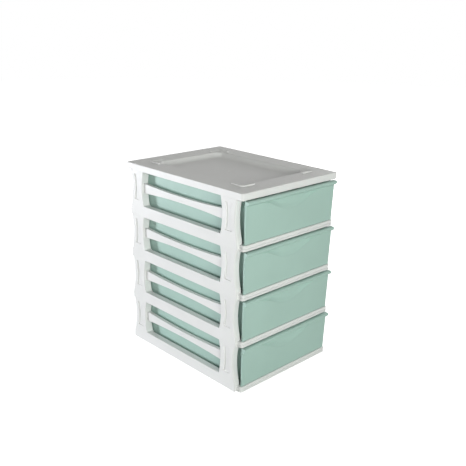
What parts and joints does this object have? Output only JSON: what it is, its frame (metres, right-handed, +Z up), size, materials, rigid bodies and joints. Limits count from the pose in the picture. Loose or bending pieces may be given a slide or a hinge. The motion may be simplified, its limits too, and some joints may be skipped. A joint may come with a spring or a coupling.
{
  "type": "desktop drawer unit",
  "caption": "Small upright desktop drawer unit with open-sided tiers, sliding drawers with a curved finger grip, and a lid with a shallow tray.",
  "frame": {"origin": "on the table, under the middle of the closed unit's outline", "axes": "+Z up, +Y towards the back, -Y towards the drawer fronts, +X to the right as seen from the front"},
  "size_m": [0.18, 0.239, 0.2707],
  "materials": {
    "white_plastic": "satin",
    "mint_plastic": "satin"
  },
  "bodies": {
    "housing": {"lid": "white_plastic", "shelf_1": "white_plastic", "shelf_2": "white_plastic", "shelf_3": "white_plastic", "shelf_4": "white_plastic", "left_frame_1": "white_plastic", "left_frame_2": "white_plastic", "left_frame_3": "white_plastic", "left_frame_4": "white_plastic", "right_frame_1": "white_plastic", "right_frame_2": "white_plastic", "right_frame_3": "white_plastic", "right_frame_4": "white_plastic"},
    "drawer_1": {"drawer_1": "mint_plastic"},
    "drawer_2": {"drawer_2": "mint_plastic"},
    "drawer_3": {"drawer_3": "mint_plastic"},
    "drawer_4": {"drawer_4": "mint_plastic"}
  },
  "joints": [
    {"name": "drawer_1_slide", "type": "slide", "parent": "housing", "child": "drawer_1", "axis": [0, -1, 0], "range_m": [0, 0.17]},
    {"name": "drawer_2_slide", "type": "slide", "parent": "housing", "child": "drawer_2", "axis": [0, -1, 0], "range_m": [0, 0.17]},
    {"name": "drawer_3_slide", "type": "slide", "parent": "housing", "child": "drawer_3", "axis": [0, -1, 0], "range_m": [0, 0.17]},
    {"name": "drawer_4_slide", "type": "slide", "parent": "housing", "child": "drawer_4", "axis": [0, -1, 0], "range_m": [0, 0.17]}
  ]
}
